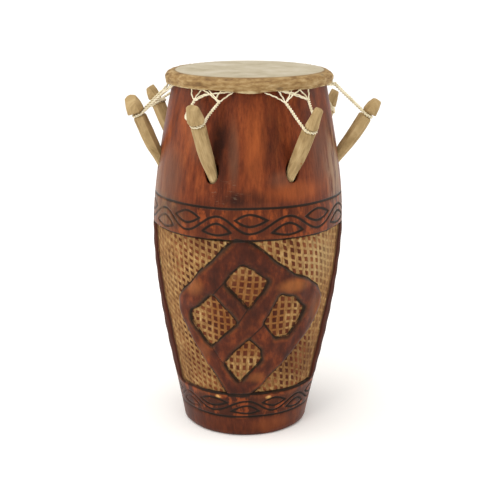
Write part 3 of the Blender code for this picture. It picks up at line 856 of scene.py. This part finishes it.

# Scraped and pale within the collar, mottled brown over it with a thin painted shadow in the
# crease between them, and a pale line along the hem.
skin = Finish("rawhide")
height = skin.measure("Z")
blotches = skin.speckle(0.035, 4.0, 0.6)
mottle = skin.speckle(0.0075, 5.0, 0.6, (2.2, 2.2, 0.55))
fibre = skin.speckle(0.0028, 4.0, 0.6, (7.0, 1.0, 1.0))
wrinkles = skin.speckle(0.003, 4.0, 0.6, (3.5, 3.5, 1.0))
scraped = skin.ramp(
    blotches * 0.85 + fibre * 0.15,
    (0.3, "#a69b82"), (0.46, "#b7ad95"), (0.6, "#c1b8a4"), (0.75, "#cac3b2"),
)
rolled = skin.ramp(
    mottle * 0.7 + blotches * 0.3, (0.31, "#64492a"), (0.41, "#84653d"), (0.5, "#9a7c4f"),
    (0.59, "#ad9165"), (0.71, "#c8b18a"),
)
to_axis = skin.vector("LENGTH", skin.from_axis(HEAD_SHIFT), output="Value") + blotches * 0.003
# Painted shadow: a thin broken brown ring in the crease where the skin turns over the rim.
crease_shadow = abs(to_axis - 0.119).rise(0.0016, 0.0004) * mottle.rise(0.35, 0.55)
wrinkled = wrinkles.rise(0.42, 0.3) * to_axis.rise(0.118, 0.12)
hem_line = height.rise(0.5622, 0.5606) * mottle.rise(0.4, 0.55)
colour = skin.layered(
    rolled, (to_axis.rise(0.1195, 0.1165), scraped), (crease_shadow * 0.4, "#59432a"),
    (wrinkled * 0.4, "#6b4f2e"), (hem_line * 0.55, "#d6c69c"),
)
marks = ((20, 0.564, 0.1295), (62, 0.578, 0.1275), (-79, 0.574, 0.13))
marks = [(*mark, 0.009, 0.009, 0.0035, 0.6) for mark in marks]
colour = skin.spotted(colour, "#4b3826", marks)
skin.set(Base_Color=colour, Roughness=0.62 + mottle * 0.2, Specular_IOR_Level=0.3)
rougher_below = height.rise(0.5805, 0.578) * 0.75 + 0.12
skin.bump(mottle * 0.5 + fibre * 0.2 + wrinkles * 0.5, 0.0008, rougher_below)
hide.data.materials.append(skin.material)
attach(hide, "root")
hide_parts("hide_head")


# THE SEVEN PEGS. Sticks of pale hardwood whittled with a knife, each with a notch below its head
# for the cord, and driven down into a slanting hole in the neck. Left bare.
NOTCH_LENGTH = 0.008
NOTCH_RADIUS = 0.0078
NECK_OF_PEG = 0.0108
WAIST_OF_PEG = NECK_OF_PEG - 0.0006
HEAD_SHIFT_OUT = 0.0028
PEG_SIDES = 40
KNIFE_FLATS = 8
KNIFE_STEP = 0.0025
BOWED_LENGTH = 0.09
BOW = 0.0016
DRIFT = 0.0008
SLANT_START = 0.012
# The shaft from its tip in the log's wall: distance from the mouth, half width, half depth, shift.
SHAFT = (
    (-PEG_SEAT, 0.007, 0.007, 0), (-0.024, 0.0071, 0.0071, 0), (-0.008, 0.0078, 0.0077, 0),
    (0.006, 0.009, 0.0087, 0), (0.022, 0.0104, 0.0102, 0), (0.042, 0.0112, 0.011, 0),
)


def whittled(peg_axes, sections, seed):
    """Close rings along a peg, each cut to a few knife flats that wander along its length."""
    rings = []
    for start, end in zip(sections, sections[1:]):
        steps = max(1, round((end[0] - start[0]) / KNIFE_STEP))
        for step in range(steps):
            rings.append(np.array(start) + (np.array(end) - start) * (step / steps))
    rings.append(sections[-1])
    mouth, axis, outward, aside = peg_axes
    facings = []
    for flat in range(KNIFE_FLATS):
        wander = 0.38 * noise.noise(Vector((flat * 5.3, seed * 4.1, 1.0)))
        facings.append(math.tau * (flat + wander) / KNIFE_FLATS)
    placed = []
    for distance, wide, deep, shift in (map(float, ring) for ring in rings):
        bend = Vector((distance * 11 + seed * 7.3, seed * 1.7, 0.3))
        bowed = min(max(distance, 0.0), BOWED_LENGTH)
        bow = outward * (BOW * math.sin(math.pi * bowed / BOWED_LENGTH))
        drift = outward * noise.noise(bend) + aside * noise.noise(bend + Vector((0, 5, 0)))
        drift = bow + drift * DRIFT
        flats = []
        for flat, facing in enumerate(facings):
            place = Vector((flat * 3.1, distance * 26, seed * 2.9))
            flats.append((facing, 0.965 + 0.1 * noise.noise(place)))
        ring = []
        for side in range(PEG_SIDES):
            turn = math.tau * side / PEG_SIDES
            cosines = [(math.cos(turn - facing), depth) for facing, depth in flats]
            reach = min(depth / cosine for cosine, depth in cosines if cosine > 0.2)
            shape = outward * (math.cos(turn) * deep) + aside * (math.sin(turn) * wide)
            ring.append(mouth + axis * distance + outward * shift + drift + shape * reach)
        placed.append(ring)
    return placed


bare_wood = Finish("pale_hardwood")
along = bare_wood.node("UVMap", {"uv_map": "along_the_peg"})
grain = bare_wood.speckle(0.0016, 4.0, 0.6, (1.0, 16.0, 1.0), along)
clouds = bare_wood.speckle(0.014, 4.0, 0.6, (1.0, 3.0, 1.0), along)
wood = bare_wood.ramp(
    grain * 0.4 + clouds * 0.6, (0.3, "#755b3a"), (0.42, "#998056"), (0.53, "#b0966a"),
    (0.64, "#c2ab80"), (0.78, "#d2c19b"),
)
wood = bare_wood.blend(grain.rise(0.36, 0.26) * 0.5, wood, "#6f512e")
wood = bare_wood.spotted(wood, "#8a5426", (
    (33.5, 0.517, 0.178, 0.006, 0.02, 0.008, 0.7),
    (29.0, 0.456, 0.16, 0.0022, 0.02, 0.0026, 0.8),
    (-25.5, 0.527, 0.182, 0.005, 0.02, 0.009, 0.5),
))
bare_wood.set(Base_Color=wood, Roughness=0.68 + grain * 0.15, Specular_IOR_Level=0.3)
bare_wood.bump(grain * 0.6 + clouds * 0.4, 0.0007, 0.8)
for number, (peg, peg_axes) in enumerate(zip(PEGS, peg_frames), 1):
    length, head_length, foot_width, top_width, slant = peg[3:]
    head = length - head_length
    notch = head - NOTCH_LENGTH
    foot, top = foot_width / 2, top_width / 2
    middle = (foot + top) / 2
    sections = SHAFT + (
        (notch - 0.002, NECK_OF_PEG, NECK_OF_PEG, 0), (notch, WAIST_OF_PEG, WAIST_OF_PEG, 0),
        (notch + 0.0022, NOTCH_RADIUS, NOTCH_RADIUS, 0),
        (head - 0.0005, NOTCH_RADIUS, NOTCH_RADIUS, 0),
        (head + 0.0012, foot * 0.96, foot * 0.92, HEAD_SHIFT_OUT),
        (head + 0.003, foot, foot * 0.95, HEAD_SHIFT_OUT),
        (head + 0.014, middle, middle, HEAD_SHIFT_OUT),
        (length - 0.0022, top, top * 0.92, HEAD_SHIFT_OUT),
        (length - 0.0006, top * 0.93, top * 0.86, HEAD_SHIFT_OUT),
        (length, top * 0.8, top * 0.74, HEAD_SHIFT_OUT),
    )
    bm = bmesh.new()
    loft(bm, whittled(peg_axes, sections, number))
    mouth, axis, outward, aside = peg_axes
    layer = bm.loops.layers.uv.new("along_the_peg")
    for vert in bm.verts:
        past = (vert.co - mouth).dot(axis) - (head + SLANT_START)
        if past > 0.0:
            vert.co -= axis * past * slant * (1 + (vert.co - mouth).dot(aside) / top)
    for corner in (corner for face in bm.faces for corner in face.loops):
        away = corner.vert.co - mouth
        forward, across = away.dot(outward), away.dot(aside)
        wrapped = 0.4 * math.atan2(across, forward + 0.02) * 0.01
        corner[layer].uv = (across + wrapped + (number - 1) * 0.3, away.dot(axis))
    made = finished("whittled_peg_%d" % number, bm, 22.0)
    made.data.materials.append(bare_wood.material)
    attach(made, "root")
    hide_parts("peg_%d" % number)


# THE LACINGS. Cream cotton cord of two twisted plies: a loop round each peg's notch whose two legs
# run up to the collar and there open into thin strands sewn through the hem, crossing as they go.
PLY_RADIUS = 0.00125
PLY_OFFSET = 0.00115
PLY_PITCH = 0.0088
THREAD_RADIUS = 0.00105
THREAD_OFFSET = 0.0003
THREAD_SIDES = 7
CORD_STEP = 0.0011
THREAD_STEP = 0.002
LOOP_STEPS = 8
LOOP_HALF_TURN = 105.0
# Only the two front pegs' cords can be followed in the picture. Each leg is a row of places
# (azimuth, height, radius) from the fork down to the notch, and each thread a row from the fork
# out to the hem.
FOLLOWED = {
    1: dict(
        legs=(
            ((-36.6, 0.5475, 0.1345), (-36.8, 0.5413, 0.139),
             (-36.5, 0.533, 0.149), (-35.4, 0.523, 0.16)),
            ((-18.9, 0.547, 0.137), (-18.9, 0.544, 0.14),
             (-20.4, 0.536, 0.152), (-21.9, 0.526, 0.1635)),
        ),
        threads=(
            ((-36.7, 0.545, 0.136), (-40.4, 0.5516, 0.132), (-43.0, 0.56, 0.127)),
            ((-36.7, 0.545, 0.136), (-36.2, 0.5505, 0.1335), (-34.3, 0.56, 0.127)),
            ((-36.7, 0.544, 0.1365), (-31.0, 0.5515, 0.133),
             (-26.4, 0.555, 0.1305), (-12.6, 0.5592, 0.1275)),
            ((-36.7, 0.546, 0.1365), (-31.2, 0.5535, 0.1325),
             (-24.4, 0.556, 0.13), (-13.8, 0.5596, 0.1272)),
            ((-18.9, 0.545, 0.138), (-15.2, 0.552, 0.1325), (-11.0, 0.559, 0.1275)),
            ((-18.9, 0.545, 0.138), (-27.3, 0.5562, 0.131), (-33.3, 0.5598, 0.1272)),
            ((-18.9, 0.546, 0.1375), (-21.3, 0.5507, 0.1335), (-19.5, 0.5588, 0.1275)),
            ((-18.9, 0.546, 0.137), (-23.4, 0.5535, 0.1322), (-28.6, 0.5597, 0.1272)),
        ),
    ),
    2: dict(
        legs=(
            ((22.9, 0.544, 0.137), (24.4, 0.5345, 0.147),
             (26.2, 0.522, 0.158), (28.0, 0.51, 0.169)),
            ((40.2, 0.5455, 0.136), (38.8, 0.539, 0.143),
             (37.2, 0.528, 0.155), (37.4, 0.518, 0.165)),
        ),
        threads=(
            ((22.9, 0.5435, 0.1375), (17.0, 0.552, 0.1325), (9.7, 0.5597, 0.1272)),
            ((22.9, 0.5435, 0.1375), (21.5, 0.551, 0.133), (19.8, 0.5604, 0.1268)),
            ((22.9, 0.5445, 0.137), (26.0, 0.552, 0.1325), (29.6, 0.5615, 0.1264)),
            ((22.9, 0.5445, 0.137), (29.0, 0.5535, 0.1322), (36.9, 0.5612, 0.1266)),
            ((40.2, 0.5455, 0.136), (42.0, 0.553, 0.132), (43.9, 0.5606, 0.1268)),
            ((40.2, 0.5455, 0.136), (38.0, 0.5535, 0.132), (35.2, 0.5612, 0.1264)),
            ((40.2, 0.5445, 0.1366), (31.0, 0.5528, 0.1325), (20.9, 0.56, 0.127)),
            ((40.2, 0.5455, 0.136), (31.5, 0.5548, 0.1312), (23.0, 0.5606, 0.1268)),
        ),
    ),
}
# The others fork at about the same place, below the hem and out from it, and their threads fan
# out by so many degrees. The third peg leans out furthest, so its cord forks higher.
FORK = (0.015, 0.0115)
HIGH_FORK = (0.004, 0.0085)
HIGH_FORKED = 3
FORK_SPREAD = 8.0
NARROW_SPREAD = 5.0
NARROW = (3, 7)
FANS = (((-17.5, -7.5, 1.5), (-9.0, 8.5, 15.5)), ((-17.0, -8.5, 12.5), (-5.0, 6.5, 15.0)))
# The fourth and sixth cords are wound on below the loop: how far below, and how far round.
WOUND_ON = (4, 6)
WINDINGS = (0.0028, 0.0056)
WINDING_STEPS = 14
STEPS_A_TURN = 12


def smooth_route(stops, step):
    """Points about a step apart on a curve through every stop."""
    spans = []
    padded = [stops[0] * 2 - stops[1]] + list(stops) + [stops[-1] * 2 - stops[-2]]
    for before, start, end, after in zip(padded, padded[1:], padded[2:], padded[3:]):
        count = max(2, round((end - start).length / step))
        for index in range(count):
            t = index / count
            spans.append((
                start * 2 + (end - before) * t + (before * 2 - start * 5 + end * 4 - after) * t**2
                + (start * 3 - before - end * 3 + after) * t**3
            ) * 0.5)
    return spans + [stops[-1]]


def cord(bm, route, radius, offset=0.0, phase=0.0, sides=8):
    """A round strand along a route, winding round it at an offset."""
    across = Vector((0.31, 0.17, 0.93))
    travelled = 0.0
    rings = []
    for index, point in enumerate(route):
        ahead = (route[min(index + 1, len(route) - 1)] - route[max(index - 1, 0)]).normalized()
        across = (across - ahead * across.dot(ahead)).normalized()
        over = ahead.cross(across)
        travelled += (point - route[max(index - 1, 0)]).length
        wind = phase + math.tau * travelled / PLY_PITCH
        centre = point + (across * math.cos(wind) + over * math.sin(wind)) * offset
        size = radius * (1 + 0.12 * noise.noise(centre * 420))
        turns = [math.tau * side / sides for side in range(sides)]
        rings.append([centre + (across * math.cos(t) + over * math.sin(t)) * size for t in turns])
    loft(bm, rings)


def twisted(bm, stops):
    """A cord of two plies wound round each other, through every stop."""
    for phase in (0.0, math.pi):
        cord(bm, smooth_route(stops, CORD_STEP), PLY_RADIUS, PLY_OFFSET, phase)


def hem_place(azimuth):
    """Where a thread goes in under the hem."""
    return around(azimuth, HEM_HEIGHT - 0.0008 - float(hem_drop(np.array(azimuth))), HEM_RADIUS)


twine = Finish("cotton_cord")
lay = twine.speckle(0.0009, 3.0, 0.6)
soil = twine.speckle(0.012, 3.0, 0.6)
cotton = twine.ramp(
    lay * 0.5 + soil * 0.5,
    (0.3, "#ac9c76"), (0.42, "#d9cdaa"), (0.54, "#eee6cc"), (0.7, "#f8f4e4"),
)
twine.set(Base_Color=cotton, Roughness=0.9, Specular_IOR_Level=0.15)
twine.bump(lay, 0.0004, 0.7)
for number, (peg, peg_axes) in enumerate(zip(PEGS, peg_frames), 1):
    mouth, axis = peg_axes[:2]
    centre = mouth + axis * (peg[3] - peg[4] - NOTCH_LENGTH / 2 + 0.0004)
    azimuth_there = math.degrees(math.atan2(centre.x - axis_x(centre.z), -centre.y))
    reach = NOTCH_RADIUS + PLY_RADIUS + PLY_OFFSET - 0.0002
    loop = []
    for step in range(LOOP_STEPS + 1):
        turn = math.radians(LOOP_HALF_TURN * (step / (LOOP_STEPS / 2) - 1))
        loop.append(off_axis(peg_axes, centre, turn, reach))
    threads = []
    if number in FOLLOWED:
        followed = FOLLOWED[number]
        legs = [[around(*stop) for stop in leg] for leg in followed["legs"]]
        for thread in followed["threads"]:
            threads.append([around(*stop) for stop in thread[:-1]] + [hem_place(thread[-1][0])])
    else:
        spread = NARROW_SPREAD if number in NARROW else FORK_SPREAD
        drop, out = HIGH_FORK if number == HIGH_FORKED else FORK
        legs = []
        for side, fan in zip((-1, 1), FANS[number % 2]):
            fork = around(azimuth_there + side * spread, HEM_HEIGHT - drop, HEM_RADIUS + out)
            legs.append([fork, fork.lerp(loop[0 if side < 0 else -1], 0.5)])
            for place in fan:
                end = hem_place(azimuth_there + place)
                threads.append([fork, fork.lerp(end, 0.5) + Vector((0.0, 0.0, -0.0006)), end])
    bm = bmesh.new()
    twisted(bm, legs[0] + loop + legs[1][::-1])
    for stops in threads:
        route = smooth_route(stops, THREAD_STEP)
        cord(bm, route, THREAD_RADIUS, THREAD_OFFSET, 0.0, THREAD_SIDES)
    for lower in WINDINGS if number in WOUND_ON else ():
        winding = []
        for step in range(WINDING_STEPS):
            turn = math.tau * step / STEPS_A_TURN + 1.0
            start = centre - axis * (lower + 0.0006 * math.sin(turn))
            winding.append(off_axis(peg_axes, start, turn, reach + lower * 0.35))
        twisted(bm, winding)
    made = finished("cord_%d" % number, bm, 60.0)
    made.data.materials.append(twine.material)
    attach(made, "root")
    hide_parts("lacing_%d" % number)


# THE STUDIO. A seamless floor of pale paper under a wide soft lamp overhead and three more round
# it, and a camera with the photograph's own view.
FLOOR_HALF = 40.0
bm = bmesh.new()
bmesh.ops.create_grid(bm, x_segments=1, y_segments=1, size=FLOOR_HALF)
floor = finished("studio_floor", bm)
paper = Finish("pale_paper")
paper.set(Base_Color=paint("#fdfdfd"), Roughness=0.9)
paper.set(Emission_Color=paint("#ffffff"), Emission_Strength=0.07)
floor.data.materials.append(paper.material)

world = bpy.data.worlds.new("studio_light")
world.use_nodes = True
tree = world.node_tree
glow = tree.nodes["Background"]
glow.inputs["Color"].default_value = (1.0, 0.975, 0.94, 1.0)
glow.inputs["Strength"].default_value = 0.5
# Past the edge of the floor the studio is as white as the paper.
beyond = tree.nodes.new("ShaderNodeBackground")
beyond.inputs["Color"].default_value = (1.0, 1.0, 1.0, 1.0)
beyond.inputs["Strength"].default_value = 1.1
seen = tree.nodes.new("ShaderNodeLightPath")
either = tree.nodes.new("ShaderNodeMixShader")
tree.links.new(seen.outputs["Is Camera Ray"], either.inputs["Fac"])
tree.links.new(glow.outputs[0], either.inputs[1])
tree.links.new(beyond.outputs[0], either.inputs[2])
tree.links.new(either.outputs[0], tree.nodes["World Output"].inputs["Surface"])
bpy.context.scene.world = world
bpy.context.scene.view_settings.view_transform = "Standard"


def lamp(name, place, aim, size, power):
    """One soft square lamp, turned to face a point."""
    light = bpy.data.lights.new(name, "AREA")
    light.shape = "SQUARE"
    light.size = size
    light.energy = power
    light.color = (1.0, 0.93, 0.82)
    holder = bpy.data.objects.new(name, light)
    holder.location = place
    holder.rotation_euler = (Vector(aim) - Vector(place)).to_track_quat("-Z", "Y").to_euler()
    bpy.context.scene.collection.objects.link(holder)


MIDDLE = (0.0, 0.0, 0.3)
sky = bpy.data.lights.new("overhead", "SUN")
sky.energy = 2.1
sky.color = (1.0, 0.98, 0.95)
sky.angle = math.radians(70.0)
overhead = bpy.data.objects.new("overhead", sky)
overhead.rotation_euler = (math.radians(12.0), math.radians(-8.0), 0.0)
bpy.context.scene.collection.objects.link(overhead)
lamp("left_lamp", (-2.2, 0.2, 0.9), MIDDLE, 1.4, 7.5)
lamp("right_lamp", (2.2, 0.3, 0.9), MIDDLE, 1.4, 9.5)
lamp("front_lamp", (-1.1, -2.0, 1.9), MIDDLE, 0.7, 11.0)

camera = bpy.data.cameras.new("photographer")
camera.lens = 80.06
camera.sensor_width = 36.0
camera.clip_end = 100.0
viewpoint = bpy.data.objects.new("photographer", camera)
viewpoint.location = (-0.0084, -1.754, 0.777)
viewpoint.rotation_euler = (math.radians(90.0 - 15.69), 0.0, math.radians(-0.119))
bpy.context.scene.collection.objects.link(viewpoint)
bpy.context.scene.camera = viewpoint
